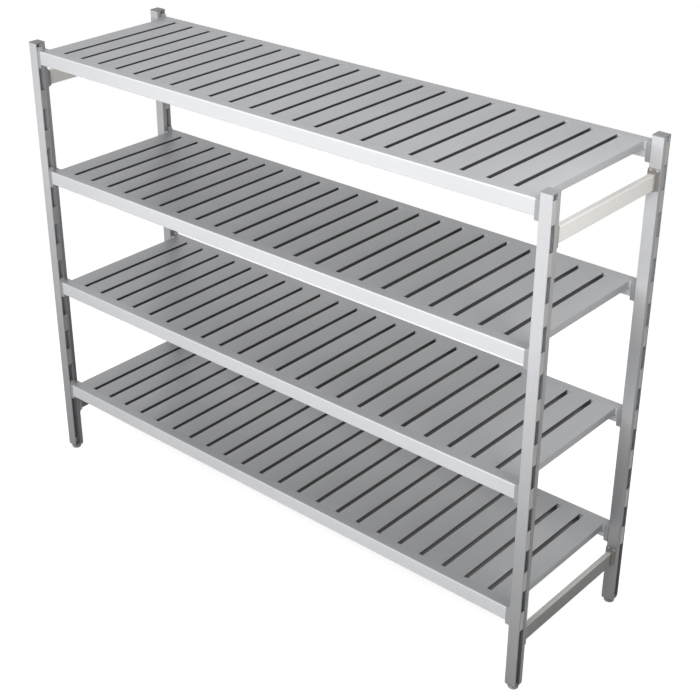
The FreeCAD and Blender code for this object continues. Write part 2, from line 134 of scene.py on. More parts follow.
def run_tree(name, mesh, tree, values):
    """Run a tree of geometry nodes over a mesh and return the plain result as an object."""
    carrier = bpy.data.objects.new(name + "_carrier", mesh)
    bpy.context.scene.collection.objects.link(carrier)
    modifier = carrier.modifiers.new("Build", "NODES")
    modifier.node_group = tree
    for item in tree.interface.items_tree:
        if item.item_type == "SOCKET" and item.in_out == "INPUT" and item.name in values:
            modifier[item.identifier] = values[item.name]
    bpy.context.view_layer.update()
    graph = bpy.context.evaluated_depsgraph_get()
    result = bpy.data.meshes.new_from_object(carrier.evaluated_get(graph), depsgraph=graph)
    carrier.modifiers.remove(modifier)
    bpy.data.objects.remove(carrier)
    if not result.polygons:
        raise RuntimeError(f"{name} came out empty")
    result.name = name
    made = bpy.data.objects.new(name, result)
    bpy.context.scene.collection.objects.link(made)
    return made


def points_mesh(name, rows, facings=None):
    """A mesh of bare points, with the way that each one faces as an attribute."""
    mesh = bpy.data.meshes.new(name)
    mesh.from_pydata([tuple(row) for row in rows], [], [])
    if facings:
        attribute = mesh.attributes.new("facing", "FLOAT_VECTOR", "POINT")
        for item, facing in zip(attribute.data, facings):
            item.vector = facing
    return mesh


def smooth(made, degrees):
    """Shade an object smooth, except over edges sharper than an angle."""
    made.data.polygons.foreach_set("use_smooth", [True] * len(made.data.polygons))
    made.data.set_sharp_from_angle(angle=math.radians(degrees))


def finish_nodes(nodes, material):
    """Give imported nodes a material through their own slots."""
    for name in nodes:
        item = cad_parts[name]
        if not item.material_slots:
            item.data.materials.append(material)
        for place in item.material_slots:
            place.material = material


def start_material(name, base, metallic, roughness):
    """A new material with its surface shader and the object's own coordinates."""
    material = bpy.data.materials.new(name)
    material.use_nodes = True
    tree = material.node_tree
    tree.nodes.clear()
    surface = add_node(
        tree,
        "ShaderNodeBsdfPrincipled",
        {"Base Color": base, "Metallic": metallic, "Roughness": roughness},
    )
    add_node(tree, "ShaderNodeOutputMaterial", links={"Surface": surface.outputs[0]})
    place = add_node(tree, "ShaderNodeTexCoord").outputs["Object"]
    return material, tree, surface, place


def pattern(tree, place, sizes_mm, detail=2.0):
    """Noise whose cells measure the given millimetres along X, Y and Z."""
    scaled = add_node(
        tree,
        "ShaderNodeMapping",
        {"Scale": [1 / (size * MM) for size in sizes_mm]},
        {"Vector": place},
    )
    noise = add_node(
        tree,
        "ShaderNodeTexNoise",
        {"Scale": 1.0, "Detail": detail, "Roughness": 0.55},
        {"Vector": scaled.outputs[0]},
    )
    return noise.outputs[0]


def remap(tree, value, low, high, bottom, top):
    """Spread a value that runs from low to high over bottom to top."""
    node = add_node(
        tree,
        "ShaderNodeMapRange",
        {"From Min": low, "From Max": high, "To Min": bottom, "To Max": top},
        {"Value": value},
    )
    return node.outputs[0]


def shade_colour(tree, base, factor):
    """Darken or lighten a colour by a factor that varies over the surface."""
    grey = add_node(
        tree,
        "ShaderNodeCombineColor",
        links={"Red": factor, "Green": factor, "Blue": factor},
    )
    mixed = add_node(
        tree,
        "ShaderNodeMix",
        {"data_type": "RGBA", "blend_type": "MULTIPLY", 0: 1.0, 6: base},
        {7: grey.outputs[0]},
    )
    return mixed.outputs[2]


def bump(tree, height, distance_mm, strength):
    """Turn a height into a bumped normal."""
    settings = {"Distance": distance_mm * MM, "Strength": strength}
    return add_node(tree, "ShaderNodeBump", settings, {"Height": height}).outputs[0]


def dress(tree, surface, base, tone, rough, normal=None):
    """Link a varying tone, gloss and relief to a surface shader."""
    tree.links.new(shade_colour(tree, base, tone), surface.inputs["Base Color"])
    if rough is not None:
        tree.links.new(rough, surface.inputs["Roughness"])
    if normal is not None:
        tree.links.new(normal, surface.inputs["Normal"])


def faces_along(tree, axis):
    """One on the faces that look along an axis, either way, and nought on the others."""
    normal = add_node(tree, "ShaderNodeTexCoord").outputs["Normal"]
    part = add_node(tree, "ShaderNodeSeparateXYZ", links={0: normal}).outputs[axis]
    size = calculate(tree, "ABSOLUTE", part, 0)
    return remap(tree, size, 0.6, 0.9, 0, 1)


def slanted_faces(tree):
    """One on the faces that look partly upwards, such as a rounded nose, and nought on the others."""
    normal = add_node(tree, "ShaderNodeTexCoord").outputs["Normal"]
    rise = add_node(tree, "ShaderNodeSeparateXYZ", links={0: normal}).outputs["Z"]
    off = calculate(tree, "ABSOLUTE", calculate(tree, "SUBTRACT", rise, 0.6), 0)
    return remap(tree, off, 0.2, 0.35, 1, 0)


def painted_shade_or_highlight(tree, tone, mask, share):
    """Paint shade or a highlight: bring a tone to a share of itself where a mask is one."""
    return calculate(tree, "MULTIPLY", tone, remap(tree, mask, 0, 1, 1.0, share))


def darkened_low(tree, tone, place, share):
    """Paint shade on the upright faces, fading them down to a share at the floor, as they fade in the
    photo.
    """
    height = add_node(tree, "ShaderNodeSeparateXYZ", links={0: place}).outputs["Z"]
    fade = remap(tree, height, 0.0, 1.25, share, 1.0)
    level = faces_along(tree, "Z")
    kept = calculate(tree, "MAXIMUM", fade, level)
    return calculate(tree, "MULTIPLY", tone, kept)


# Finishes

def anodised_extrusion(name, base, run, roughness, painted_shade_axis=None, dull=1.0, low=1.0, nose=1.0):
    """Natural anodised aluminium, extruded: satin grey metal with faint die lines along its run.

    The etch before anodising leaves a soft, even gloss, so the eye gets broad pale reflections.
    Die lines are about 0.5 mm apart, too fine to show, and are drawn 2.5 mm apart.
    The last four settings paint shading of the photo into the colour, and stand for no wear or dirt: faces
    along the painted shade axis take painted shade down to the share dull, upright faces take painted shade
    that fades to the share low at the floor, and nose paints a highlight on the slanted faces.
    """
    material, tree, surface, place = start_material(name, base, METAL, roughness)
    lines = pattern(tree, place, [900 if axis == run else 2.5 for axis in "XYZ"], 3)
    cloud = pattern(tree, place, [420 if axis == run else 140 for axis in "XYZ"], 2)
    rub = pattern(tree, place, [60 if axis == run else 18 for axis in "XYZ"], 6)
    tone = calculate(
        tree,
        "ADD",
        remap(tree, cloud, 0.3, 0.7, 0.955, 1.0),
        remap(tree, lines, 0.3, 0.7, -0.02, 0.02),
    )
    # painted shade on the faces along one axis and towards the floor, and a painted highlight on the
    # slanted faces
    if painted_shade_axis:
        tone = painted_shade_or_highlight(tree, tone, faces_along(tree, painted_shade_axis), dull)
    if low < 1:
        tone = darkened_low(tree, tone, place, low)
    if nose > 1:
        tone = painted_shade_or_highlight(tree, tone, slanted_faces(tree), nose)
    rough = calculate(
        tree,
        "ADD",
        remap(tree, lines, 0.3, 0.7, roughness - 0.05, roughness + 0.05),
        remap(tree, rub, 0.55, 0.8, 0.0, 0.09),
    )
    dress(tree, surface, base, tone, rough, bump(tree, lines, 0.05, 0.35))
    return material


def slat_extrusion(name, base, roughness):
    """Natural anodised aluminium slats, extruded: a mid grey with a low sheen.

    Each slat takes a slightly different grey, so the eye reads a row of separate bars. Die lines of 0.5 mm
    are drawn 2.5 mm apart, and scuffs of 0.2 mm 1.5 mm wide, to show. The scuffs are made up, because the
    photo is too small to show any. The walls that face each other across a slot take painted shade, which
    makes the slots about as dark as in the photo.
    """
    material, tree, surface, place = start_material(name, base, METAL, roughness)
    slat = add_node(tree, "ShaderNodeAttribute", {"attribute_name": "slat_tone"}).outputs["Fac"]
    lines = pattern(tree, place, (2.5, 700, 2.5), 3)
    cloud = pattern(tree, place, (160, 160, 90), 3)
    scuffs = pattern(tree, place, (45, 1.5, 20), 4)
    tone = calculate(
        tree,
        "ADD",
        remap(tree, slat, 0, 1, 0.93, 1.0),
        remap(tree, cloud, 0.3, 0.7, -0.035, 0.02),
    )
    tone = calculate(tree, "ADD", tone, remap(tree, lines, 0.3, 0.7, -0.02, 0.02))
    worn = remap(tree, scuffs, 0.62, 0.72, 0.0, 1.0)
    tone = calculate(tree, "ADD", tone, remap(tree, worn, 0, 1, 0.0, 0.05))
    # painted shade on the slat walls that face each other across a slot
    across = add_node(tree, "ShaderNodeSeparateXYZ", links={0: place}).outputs["X"]
    beside = calculate(tree, "ABSOLUTE", across, 0)
    between = remap(tree, beside, TIER_END - 0.2 * MM, TIER_END + 0.2 * MM, 1, 0)
    gap = calculate(tree, "MULTIPLY", faces_along(tree, "X"), between)
    tone = painted_shade_or_highlight(tree, tone, gap, 0.15)
    rough = remap(tree, worn, 0, 1, roughness, roughness - 0.1)
    dress(tree, surface, base, tone, rough, bump(tree, lines, 0.05, 0.3))
    return material


def rolled_stainless(name, base, roughness):
    """Stainless steel, cold rolled: a slightly warm grey with a dull sheen and grain up its length.

    The grain breaks reflections into soft upright streaks. It is about 0.1 mm wide, drawn 1 mm wide.
    """
    material, tree, surface, place = start_material(name, base, METAL, roughness)
    grain = pattern(tree, place, (1, 1, 220), 4)
    cloud = pattern(tree, place, (60, 60, 240), 2)
    tone = calculate(
        tree,
        "ADD",
        remap(tree, grain, 0.3, 0.7, -0.05, 0.05),
        remap(tree, cloud, 0.3, 0.7, 0.92, 1.0),
    )
    rough = remap(tree, grain, 0.3, 0.7, roughness - 0.06, roughness + 0.06)
    dress(tree, surface, base, tone, rough, bump(tree, grain, 0.03, 0.3))
    return material


def blasted_casting(name, base, roughness):
    """Aluminium die casting, grit blasted: matt grey with a sandy skin and slightly darker flow marks.

    It mirrors nothing, so the eye tells it from the smooth extrusions beside it.
    The blast leaves pits of about 0.3 mm, drawn 1.2 mm wide.
    """
    material, tree, surface, place = start_material(name, base, METAL, roughness)
    grit = pattern(tree, place, (1.2, 1.2, 1.2), 2)
    flow = pattern(tree, place, (24, 24, 40), 3)
    tone = calculate(
        tree,
        "ADD",
        remap(tree, grit, 0.3, 0.7, -0.05, 0.05),
        remap(tree, flow, 0.3, 0.7, 0.9, 1.0),
    )
    rough = remap(tree, flow, 0.3, 0.7, roughness - 0.06, roughness + 0.08)
    dress(tree, surface, base, tone, rough, bump(tree, grit, 0.12, 0.5))
    return material


def moulded_nylon(name, base, roughness):
    """Grey nylon, moulded in a spark-eroded tool: a fine even grain with a soft plastic sheen.

    Highlights stay broad and colourless, unlike those of the metal.
    The grain is about 0.2 mm and is drawn 1 mm wide.
    """
    material, tree, surface, place = start_material(name, base, 0.0, roughness)
    surface.inputs["IOR"].default_value = 1.53
    grain = pattern(tree, place, (1, 1, 1), 1)
    cloud = pattern(tree, place, (18, 18, 18), 3)
    tone = calculate(
        tree,
        "ADD",
        remap(tree, grain, 0.3, 0.7, -0.04, 0.04),
        remap(tree, cloud, 0.3, 0.7, 0.9, 1.0),
    )
    rough = remap(tree, cloud, 0.3, 0.7, roughness - 0.05, roughness + 0.07)
    dress(tree, surface, base, tone, rough, bump(tree, grain, 0.1, 0.4))
    return material


# Settings

class ShelvingColours(bpy.types.PropertyGroup):
    """Colours of the unit's finishes."""

    post: colour("Posts", "Anodised posts", "#d0d1d3")
    bar: colour("Crossbars", "Anodised crossbars of the end frames", "#e1dfda")
    rail: colour("Rails", "Anodised front and rear rails", "#dadbdd")
    slat: colour("Slats", "Anodised slats", "#b0b1b3")
    strip: colour("Rack strips", "Rolled stainless steel strips", "#b0aeab")
    connector: colour("Connectors", "Cast hook connectors", "#a9a9ab")
    bracket: colour("Brackets", "Cast crossbar brackets", "#9d9793")
    moulding: colour("Caps and blocks", "Post caps and foot blocks", "#8a8a8b")
    foot: colour("Feet", "Levelling feet", "#c0c0c3")
    screw: colour("Screws", "Bright stainless screws and studs", "#c9c9c8")


class ShelvingSlats(bpy.types.PropertyGroup):
    """Sizes of the slats of each tier."""

    width: length("Width", "Width of one slat", 75)
    height: length("Height", "Height of a slat's side walls", 24)
    wall: length("Wall", "Thickness of the extrusion", 1.6)
    shoulder: length("Shoulder", "Radius of a slat's upper edges", 2.2)
    pitch: length("Pitch", "Distance from slat to slat", 90)
    count: IntProperty(name="Count", description="Slats in one tier", min=1, default=23)


class ShelvingScrews(bpy.types.PropertyGroup):
    """Sizes of the bracket screws."""

    head_radius: length("Head radius", "Radius of a bracket screw's head", 4.2)
    head_height: length("Head height", "Height of a bracket screw's head", 2.6)
    socket: length("Socket", "Width across the flats of a screw's socket", 3)
    spacing: length("Spacing", "Distance between the two screws of a bracket", 22)
    above_bar: length("Above bar", "Height of the screws above the crossbar", 8)


class ShelvingFeet(bpy.types.PropertyGroup):
    """Sizes of the levelling feet, whose outer size comes from the frame."""

    hub: length("Hub", "Radius of the hub over the pad", 14)
    hub_top: length("Hub top", "Height of the hub's top over the floor", 12.4)
    rim_top: length("Rim top", "Height of the pad's rim over the floor", 7.5)
    rim_edge: length("Rim edge", "Radius of the rim's rounded edges", 1.1)
    hub_edge: length("Hub edge", "Width of the bevels on the hub", 0.6)
    stud: length("Stud", "Radius of the stud over its threads", 4)
    thread_pitch: length("Thread pitch", "Distance from thread to thread", 1.25)
    thread_depth: length("Thread depth", "Depth of the threads", 0.55)


class ShelvingStage(bpy.types.PropertyGroup):
    """Light and backdrop."""

    floor: colour("Floor", "Colour of the floor under its glow", "#bcbcbc")
    floor_glow: FloatProperty(
        name="Floor glow", description="White added to the floor as seen", min=0, default=0.86
    )
    ambient: FloatProperty(name="Ambient", description="Light from all round", min=0, default=0.4)
    front: FloatProperty(
        name="Front lamp", description="Power of the lamp in front", unit="POWER", min=0, default=33
    )
    top: FloatProperty(
        name="Top lamp", description="Power of the lamp overhead", unit="POWER", min=0, default=15
    )
    end: FloatProperty(
        name="End lamp", description="Power of the lamp by the right end", unit="POWER", min=0, default=10
    )
    back: FloatProperty(
        name="Back lamp", description="Power of the lamp behind", unit="POWER", min=0, default=8
    )


# Pieces

class SHELVING_OT_posts(bpy.types.Operator):
    """Finish the four posts"""

    bl_idname = "shelving.posts"
    bl_label = "Posts"

    def execute(self, context):
        colours = context.scene.shelving_colours
        posts = [f"post_{row}_{side}" for row in ROWS for side in SIDES]
        # painted shade: the side faces along X are drawn darker, and the upright faces darken towards the
        # floor
        material = anodised_extrusion(
            "Anodised aluminium, post", colours.post, "Z", 0.4, painted_shade_axis="X", dull=0.52, low=0.45
        )
        finish_nodes(posts, material)
        return {"FINISHED"}


class SHELVING_OT_rack_strips(bpy.types.Operator):
    """Finish the windowed strips in the posts' channels"""

    bl_idname = "shelving.rack_strips"
    bl_label = "Rack strips"

    def execute(self, context):
        colours = context.scene.shelving_colours
        strips = [
            f"rack_strip_{row}_{side}_{face}"
            for row in ROWS
            for side in SIDES
            for face in ("inner", "outer")
        ]
        finish_nodes(strips, rolled_stainless("Rolled stainless steel, strip", colours.strip, 0.42))
        return {"FINISHED"}


class SHELVING_OT_caps_and_blocks(bpy.types.Operator):
    """Finish the post caps and the foot blocks"""

    bl_idname = "shelving.caps_and_blocks"
    bl_label = "Post caps and foot blocks"

    def execute(self, context):
        colours = context.scene.shelving_colours
        pieces = [
            f"{kind}_{row}_{side}"
            for kind in ("post_cap", "foot_block")
            for row in ROWS
            for side in SIDES
        ]
        finish_nodes(pieces, moulded_nylon("Moulded grey nylon", colours.moulding, 0.55))
        return {"FINISHED"}


class SHELVING_OT_crossbars(bpy.types.Operator):
    """Finish the crossbars of both end frames"""

    bl_idname = "shelving.crossbars"
    bl_label = "Crossbars"

    def execute(self, context):
        colours = context.scene.shelving_colours
        bars = [f"crossbar_{side}_{level}" for side in SIDES for level in LEVELS]
        # painted shade: in the photo the low crossbar's outer side is far darker than its top, so low is
        # near nought and the upright faces near the floor are painted almost black
        material = anodised_extrusion("Anodised aluminium, crossbar", colours.bar, "Y", 0.4, low=0.02)
        finish_nodes(bars, material)
        return {"FINISHED"}


class SHELVING_OT_rails(bpy.types.Operator):
    """Finish the front and rear rails of the tiers"""

    bl_idname = "shelving.rails"
    bl_label = "Rails"

    def execute(self, context):
        colours = context.scene.shelving_colours
        rails = [f"tier{tier}_{row}_rail" for tier in TIERS for row in ROWS]
        # painted shade on the top faces along Z, and a painted highlight on the slanted nose
        material = anodised_extrusion(
            "Anodised aluminium, rail", colours.rail, "X", 0.38, painted_shade_axis="Z", dull=0.6, nose=1.25
        )
        finish_nodes(rails, material)
        return {"FINISHED"}


class SHELVING_OT_connectors(bpy.types.Operator):
    """Finish the hook connectors of the rails and the brackets of the crossbars"""

    bl_idname = "shelving.connectors"
    bl_label = "Hooks and brackets"

    def execute(self, context):
        colours = context.scene.shelving_colours
        hooks = [f"tier{tier}_{row}_hooks" for tier in TIERS for row in ROWS]
        finish_nodes(hooks, blasted_casting("Blasted aluminium casting, hook", colours.connector, 0.5))
        brackets = [f"crossbar_brackets_{side}_{level}" for side in SIDES for level in LEVELS]
        finish_nodes(
            brackets, blasted_casting("Blasted aluminium casting, bracket", colours.bracket, 0.5)
        )
        return {"FINISHED"}


def slat_tree():
    """Geometry nodes that lay a row of open-bottomed slats along X."""
    tree = bpy.data.node_groups.new("Slat deck", "GeometryNodeTree")
    add_input(tree, "Geometry", "NodeSocketGeometry")
    for name in ("Width", "Depth", "Height", "Wall", "Shoulder", "Pitch", "Surface"):
        add_input(tree, name, "NodeSocketFloat")
    add_input(tree, "Count", "NodeSocketInt")
    add_input(tree, "Seed", "NodeSocketInt")
    add_input(tree, "Material", "NodeSocketMaterial")
    tree.interface.new_socket(name="Geometry", in_out="OUTPUT", socket_type="NodeSocketGeometry")
    given = add_node(tree, "NodeGroupInput").outputs

    side = calculate(tree, "MULTIPLY", given["Width"], 0.5)
    inside = calculate(tree, "SUBTRACT", side, given["Wall"])
    foot, under = given["Height"], given["Wall"]  # the sweep turns the outline upside down
    left, left_in = (calculate(tree, "MULTIPLY", term, -1.0) for term in (side, inside))
    corners = (
        (left, foot),
        (left, 0.0),
        (side, 0.0),
        (side, foot),
        (inside, foot),
        (inside, under),
        (left_in, under),
        (left_in, foot),
    )
    ring = add_node(tree, "GeometryNodeCurvePrimitiveCircle", {"Resolution": len(corners)})
    index = add_node(tree, "GeometryNodeInputIndex").outputs[0]
    switch = add_node(tree, "GeometryNodeIndexSwitch", {"data_type": "VECTOR"})
    bend = add_node(tree, "GeometryNodeIndexSwitch", {"data_type": "FLOAT"})
    while len(switch.index_switch_items) < len(corners):
        switch.index_switch_items.new()
        bend.index_switch_items.new()
    inner_bend = calculate(tree, "SUBTRACT", given["Shoulder"], given["Wall"])
    for number, (across, up) in enumerate(corners):
        place = add_node(tree, "ShaderNodeCombineXYZ")
        for socket, term in (("X", across), ("Y", up)):
            if isinstance(term, float):
                place.inputs[socket].default_value = term
            else:
                tree.links.new(term, place.inputs[socket])
        tree.links.new(place.outputs[0], switch.inputs[number + 1])
        if number in (1, 2):
            tree.links.new(given["Shoulder"], bend.inputs[number + 1])
        elif number in (5, 6):
            tree.links.new(inner_bend, bend.inputs[number + 1])
        else:
            bend.inputs[number + 1].default_value = 0.3 * MM
    for chooser in (switch, bend):
        tree.links.new(index, chooser.inputs[0])
    outline = add_node(
        tree,
        "GeometryNodeSetPosition",
        links={"Geometry": ring.outputs[0], "Position": switch.outputs[0]},
    )
    rounded = add_node(
        tree,
        "GeometryNodeFilletCurve",
        {"mode": "POLY", "Count": 4, "Limit Radius": True},
        {"Curve": outline.outputs[0], "Radius": bend.outputs[0]},
    )
    half = calculate(tree, "MULTIPLY", given["Depth"], 0.5)
    ends = [
        add_node(tree, "ShaderNodeCombineXYZ", links={"Y": calculate(tree, "MULTIPLY", half, sign)})
        for sign in (-1.0, 1.0)
    ]
    run = add_node(
        tree,
        "GeometryNodeCurvePrimitiveLine",
        links={"Start": ends[0].outputs[0], "End": ends[1].outputs[0]},
    )
    slat = add_node(
        tree,
        "GeometryNodeCurveToMesh",
        {"Fill Caps": True},
        {"Curve": run.outputs[0], "Profile Curve": rounded.outputs[0]},
    )
    gaps = calculate(tree, "SUBTRACT", given["Count"], 1.0)
    first = calculate(tree, "MULTIPLY", calculate(tree, "MULTIPLY", gaps, given["Pitch"]), -0.5)
    start = add_node(tree, "ShaderNodeCombineXYZ", links={"X": first, "Z": given["Surface"]})
    step = add_node(tree, "ShaderNodeCombineXYZ", links={"X": given["Pitch"]})
    row = add_node(
        tree,
        "GeometryNodeMeshLine",
        links={
            "Count": given["Count"],
            "Start Location": start.outputs[0],
            "Offset": step.outputs[0],
        },
    )
    laid = add_node(
        tree,
        "GeometryNodeInstanceOnPoints",
        links={"Points": row.outputs[0], "Instance": slat.outputs[0]},
    )
    chance = add_node(
        tree,
        "FunctionNodeRandomValue",
        {"data_type": "FLOAT"},
        {"Seed": given["Seed"]},
    )
    toned = add_node(
        tree,
        "GeometryNodeStoreNamedAttribute",
        {"data_type": "FLOAT", "domain": "INSTANCE", "Name": "slat_tone"},
        {"Geometry": laid.outputs[0], "Value": chance.outputs[1]},
    )
    real = add_node(tree, "GeometryNodeRealizeInstances", links={"Geometry": toned.outputs[0]})
    painted = add_node(
        tree,
        "GeometryNodeSetMaterial",
        links={"Geometry": real.outputs[0], "Material": given["Material"]},
    )
    add_node(tree, "NodeGroupOutput", links={0: painted.outputs[0]})
    return tree


class SHELVING_OT_slats(bpy.types.Operator):
    """Lay the round-shouldered slats of every tier"""

    bl_idname = "shelving.slats"
    bl_label = "Slats"

    def execute(self, context):
        colours = context.scene.shelving_colours
        sizes = context.scene.shelving_slats
        material = slat_extrusion("Anodised aluminium, slat", colours.slat, 0.42)
        tree = slat_tree()
        for tier in TIERS:
            node = f"tier{tier}_slats"
            low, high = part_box(node)
            values = {
                "Width": sizes.width,
                "Depth": high.y - low.y,
                "Height": sizes.height,
                "Wall": sizes.wall,
                "Shoulder": sizes.shoulder,
                "Pitch": sizes.pitch,
                "Surface": high.z,
                "Count": sizes.count,
                "Seed": tier,
                "Material": material,
            }
            deck = run_tree(f"deck_of_tier_{tier}", points_mesh("start", [(0, 0, 0)]), tree, values)
            smooth(deck, 40)
            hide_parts(node)
            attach(deck, f"tier{tier}")
        return {"FINISHED"}


def screw_tree():
    """Geometry nodes that set domed screw heads with hexagonal sockets, facing as each point does."""
    tree = bpy.data.node_groups.new("Bracket screws", "GeometryNodeTree")
    add_input(tree, "Geometry", "NodeSocketGeometry")
    for name in ("Radius", "Height", "Socket"):
        add_input(tree, name, "NodeSocketFloat")
    add_input(tree, "Material", "NodeSocketMaterial")
    tree.interface.new_socket(name="Geometry", in_out="OUTPUT", socket_type="NodeSocketGeometry")
    given = add_node(tree, "NodeGroupInput").outputs

    rim = calculate(tree, "MULTIPLY", given["Height"], 0.35)
    blank = add_node(
        tree,
        "GeometryNodeMeshCylinder",
        {"Vertices": 24},
        {"Radius": given["Radius"], "Depth": rim},
    )
    seat = add_node(
        tree,
        "ShaderNodeCombineXYZ",
        links={"Z": calculate(tree, "MULTIPLY", rim, 0.5)},
    )
    shape = add_node(
        tree,
        "GeometryNodeTransform",
        links={"Geometry": blank.outputs["Mesh"], "Translation": seat.outputs[0]},
    ).outputs[0]
    top = blank.outputs["Top"]
    # each ring of the dome: the share of the height it rises, and how far it draws in
    for rise, narrowing in ((0.3, 0.9), (0.22, 0.84), (0.13, 0.78)):
        offset = calculate(tree, "MULTIPLY", given["Height"], rise)
        way = add_node(tree, "ShaderNodeCombineXYZ", links={"Z": offset})
        raised = add_node(
            tree,
            "GeometryNodeExtrudeMesh",
            {"mode": "FACES", "Offset Scale": 1.0, "Individual": False},
            {"Mesh": shape, "Selection": top, "Offset": way.outputs[0]},
        )
        top = raised.outputs["Top"]
        shape = add_node(
            tree,
            "GeometryNodeScaleElements",
            {"domain": "FACE", "Scale": narrowing},
            {"Geometry": raised.outputs[0], "Selection": top},
        ).outputs[0]
    corner = calculate(tree, "MULTIPLY", given["Socket"], 1 / math.sqrt(3))
    prism = add_node(
        tree,
        "GeometryNodeMeshCylinder",
        {"Vertices": 6},
        {"Radius": corner, "Depth": given["Height"]},
    )
    up = add_node(tree, "ShaderNodeCombineXYZ", links={"Z": given["Height"]})
    raised_prism = add_node(
        tree,
        "GeometryNodeTransform",
        links={"Geometry": prism.outputs[0], "Translation": up.outputs[0]},
    )
    head = add_node(
        tree,
        "GeometryNodeMeshBoolean",
        {"operation": "DIFFERENCE", "solver": "EXACT"},
        {"Mesh 1": shape, "Mesh 2": raised_prism.outputs[0]},
    )
    facing = add_node(
        tree,
        "GeometryNodeInputNamedAttribute",
        {"data_type": "FLOAT_VECTOR", "Name": "facing"},
    )
    turn = add_node(
        tree,
        "FunctionNodeAlignRotationToVector",
        {"axis": "Z"},
        {"Vector": facing.outputs[0]},
    )
    set_in = add_node(
        tree,
        "GeometryNodeInstanceOnPoints",
        links={"Points": given["Geometry"], "Instance": head.outputs[0], "Rotation": turn.outputs[0]},
    )
    real = add_node(tree, "GeometryNodeRealizeInstances", links={"Geometry": set_in.outputs[0]})
    painted = add_node(
        tree,
        "GeometryNodeSetMaterial",
        links={"Geometry": real.outputs[0], "Material": given["Material"]},
    )
    add_node(tree, "NodeGroupOutput", links={0: painted.outputs[0]})
    return tree


class SHELVING_OT_bracket_screws(bpy.types.Operator):
    """Set two screws in the plate of every crossbar bracket"""

    bl_idname = "shelving.bracket_screws"
    bl_label = "Bracket screws"

    def execute(self, context):
        colours = context.scene.shelving_colours
        sizes = context.scene.shelving_screws
        material = rolled_stainless("Bright stainless steel, screw", colours.screw, 0.28)
        places, facings = [], []
        for side in SIDES:
            for level in LEVELS:
                bar_low, bar_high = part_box(f"crossbar_{side}_{level}")
                middle = (bar_low.x + bar_high.x) / 2
                for row in ROWS:
                    post_low, post_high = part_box(f"post_{row}_{side}")
                    inward = 1 if row == "front" else -1
                    face = (post_high.y if row == "front" else post_low.y) + inward * 4 * MM
                    for step in (-0.5, 0.5):
                        across = middle + step * sizes.spacing
                        places.append((across, face, bar_high.z + sizes.above_bar))
                        facings.append((0, inward, 0))
        values = {
            "Radius": sizes.head_radius,
            "Height": sizes.head_height,
            "Socket": sizes.socket,
            "Material": material,
        }
        mesh = points_mesh("screw_places", places, facings)
        screws = run_tree("bracket_screws", mesh, screw_tree(), values)
        smooth(screws, 35)
        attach(screws, "frame")
        return {"FINISHED"}


class SHELVING_OT_levelling_feet(bpy.types.Operator):
    """Turn the four levelling feet, with their pads and threaded studs"""

    bl_idname = "shelving.levelling_feet"
    bl_label = "Levelling feet"

    def execute(self, context):
        colours = context.scene.shelving_colours
        sizes = context.scene.shelving_feet
        pad_material = moulded_nylon("Moulded grey nylon, pad", colours.foot, 0.5)
        stud_material = rolled_stainless("Bright stainless steel, stud", colours.screw, 0.3)
        for row in ROWS:
            for side in SIDES:
                node = f"levelling_foot_{row}_{side}"
                low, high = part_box(node)
                foot = self.turn(f"foot_{row}_{side}", low, high, sizes)
                for material in (pad_material, stud_material):
                    foot.data.materials.append(material)
                smooth(foot, 32)
                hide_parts(node)
                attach(foot, f"foot_{row}_{side}")
        return {"FINISHED"}

    def turn(self, name, low, high, sizes):
        """Spin the profile of one foot about its own axis."""
        radius, edge, bevel = (high.x - low.x) / 2, sizes.rim_edge, sizes.hub_edge
        hub, stud, pitch, depth = sizes.hub, sizes.stud, sizes.thread_pitch, sizes.thread_depth
        rim_top, hub_top = low.z + sizes.rim_top, low.z + sizes.hub_top
        turns = [math.radians(22.5 * step) for step in range(5)]
        profile = [(0, low.z), (radius - edge, low.z)]
        profile += [
            (radius - edge + edge * math.sin(angle), low.z + edge - edge * math.cos(angle))
            for angle in turns
        ]
        profile += [
            (radius - edge + edge * math.cos(angle), rim_top - edge + edge * math.sin(angle))
            for angle in turns
        ]
        profile += [(hub + bevel, rim_top), (hub, rim_top + bevel), (hub, hub_top - bevel)]
        profile += [(hub - bevel, hub_top), (stud, hub_top)]
        level = hub_top + pitch
        while level < high.z - pitch:
            profile += [(stud - depth, level), (stud, level + pitch / 2)]
            level += pitch
        tip = high.z - 0.3 * MM
        profile += [(stud - depth, tip), (stud - 2 * depth, high.z), (0, high.z)]
        centre = Vector(((low.x + high.x) / 2, (low.y + high.y) / 2, 0))
        mesh = bpy.data.meshes.new(name)
        shape = bmesh.new()
        line = [shape.verts.new((across, 0, up)) for across, up in profile]
        edges = [shape.edges.new(pair) for pair in zip(line, line[1:])]
        bmesh.ops.spin(
            shape,
            geom=line + edges,
            axis=(0, 0, 1),
            cent=(0, 0, 0),
            steps=48,
            angle=math.tau,
            use_merge=True,
        )
        bmesh.ops.remove_doubles(shape, verts=shape.verts, dist=0.01 * MM)
        bmesh.ops.recalc_face_normals(shape, faces=shape.faces)
        for face in shape.faces:
            middle = face.calc_center_median()
            if middle.z > hub_top + 0.01 * MM:
                face.material_index = 1
        bmesh.ops.translate(shape, verts=shape.verts, vec=centre)
        shape.to_mesh(mesh)
        shape.free()
        foot = bpy.data.objects.new(name, mesh)
        bpy.context.scene.collection.objects.link(foot)
        return foot


# Stage

